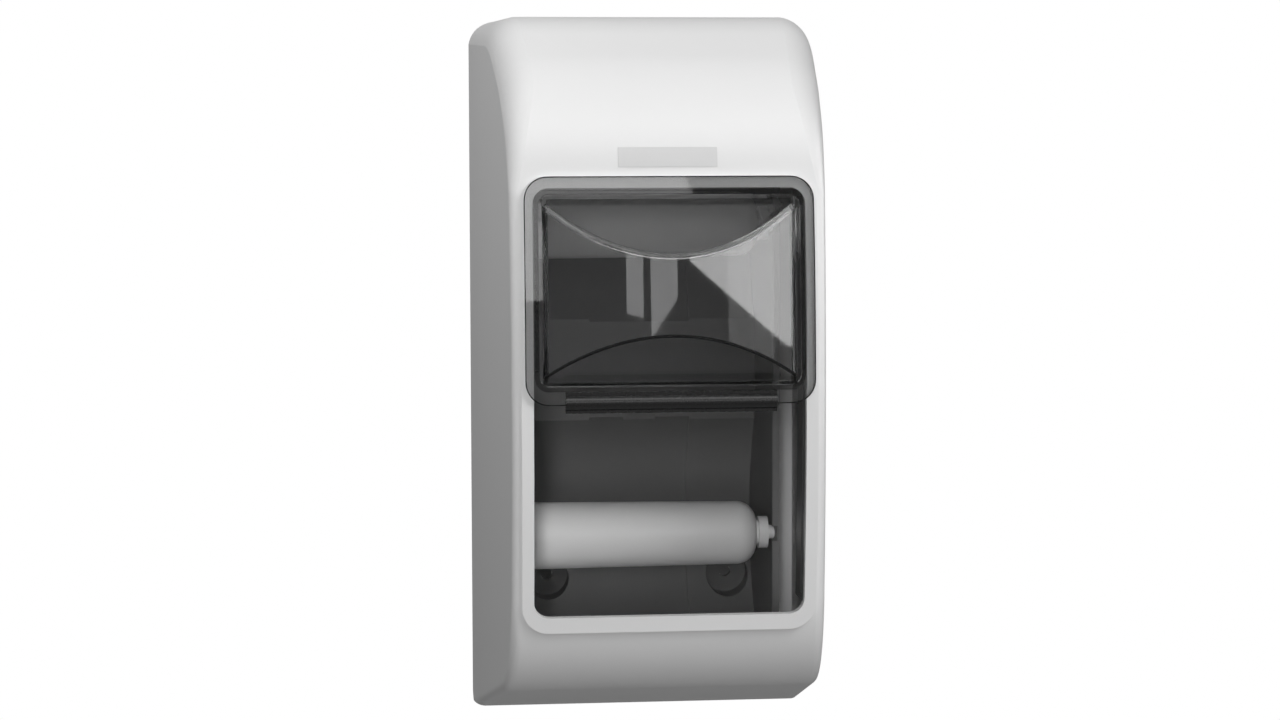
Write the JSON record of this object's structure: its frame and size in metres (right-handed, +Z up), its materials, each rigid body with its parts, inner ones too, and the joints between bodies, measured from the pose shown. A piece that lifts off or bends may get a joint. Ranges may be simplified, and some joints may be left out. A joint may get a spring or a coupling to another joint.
{
  "type": "double roll toilet paper dispenser",
  "caption": "Wall dispenser for toilet rolls: bowed white cover hinged at its foot, smoked shutter that slides down over the window, and sprung spindles over a dark tray.",
  "frame": {"origin": "on the wall plane, at mid height and in the middle of the back", "axes": "+Y into the wall and -Y out to the front, +X to the right of someone facing it, +Z up"},
  "size_m": [0.1518, 0.1693, 0.313],
  "materials": {
    "cover_white": "satin white moulding",
    "label_grey": "pale grey, bare",
    "tray_grey": "satin dark grey",
    "rail_dark": "satin near black",
    "shutter_smoke": "polished, clear smoke grey",
    "slide_smoke": "clear smoke grey",
    "bar_dark": "gloss near black",
    "spindle_white": "satin white moulding",
    "steel": "zinc plated",
    "lock_grey": "light grey"
  },
  "bodies": {
    "tray_base": {"tray": "tray_grey", "lock_keeper": "steel", "keeper_screws": "steel", "hinge_pins": "steel"},
    "cover_body": {"cover": "cover_white", "label_plate": "label_grey", "left_shutter_rail": "rail_dark", "right_shutter_rail": "rail_dark", "lock_nut": "steel"},
    "lock_body": {"lock_barrel": "lock_grey", "lock_cam": "steel", "cam_screw": "steel"},
    "shutter_body": {"shutter": "shutter_smoke", "tear_bar": "bar_dark", "left_shutter_slide": "slide_smoke", "right_shutter_slide": "slide_smoke"},
    "upper_roll_spindle": {"upper_spindle": "spindle_white", "upper_spindle_plug": "spindle_white", "upper_spindle_spring": "steel"},
    "upper_plunger": {"upper_spindle_plunger": "spindle_white"},
    "lower_roll_spindle": {"lower_spindle": "spindle_white", "lower_spindle_plug": "spindle_white", "lower_spindle_spring": "steel"},
    "lower_plunger": {"lower_spindle_plunger": "spindle_white"}
  },
  "joints": [
    {"name": "cover_open", "type": "hinge", "parent": "tray_base", "child": "cover_body", "pos_m": [0, -0.011, -0.1485], "axis": [1, 0, 0], "range_deg": [0, 95]},
    {"name": "shutter_slide", "type": "hinge", "parent": "cover_body", "child": "shutter_body", "pos_m": [0, 0.444, -0.01], "axis": [1, 0, 0], "range_deg": [0, 8.79]},
    {"name": "lock_turn", "type": "hinge", "parent": "cover_body", "child": "lock_body", "pos_m": [0, -0.05049, 0.1565], "axis": [0, 0, -1], "range_deg": [0, 90]},
    {"name": "upper_spindle_turn", "type": "hinge", "parent": "tray_base", "child": "upper_roll_spindle", "pos_m": [0, -0.074, 0.0663], "axis": [1, 0, 0], "continuous": true},
    {"name": "upper_plunger_press", "type": "slide", "parent": "upper_roll_spindle", "child": "upper_plunger", "axis": [-1, 0, 0], "range_m": [0, 0.005], "stiffness_N_per_m": 400, "springref_m": -0.004, "deforming": ["upper_spindle_spring"]},
    {"name": "lower_spindle_turn", "type": "hinge", "parent": "tray_base", "child": "lower_roll_spindle", "pos_m": [0, -0.074, -0.0693], "axis": [1, 0, 0], "continuous": true},
    {"name": "lower_plunger_press", "type": "slide", "parent": "lower_roll_spindle", "child": "lower_plunger", "axis": [-1, 0, 0], "range_m": [0, 0.005], "stiffness_N_per_m": 400, "springref_m": -0.004, "deforming": ["lower_spindle_spring"]}
  ]
}
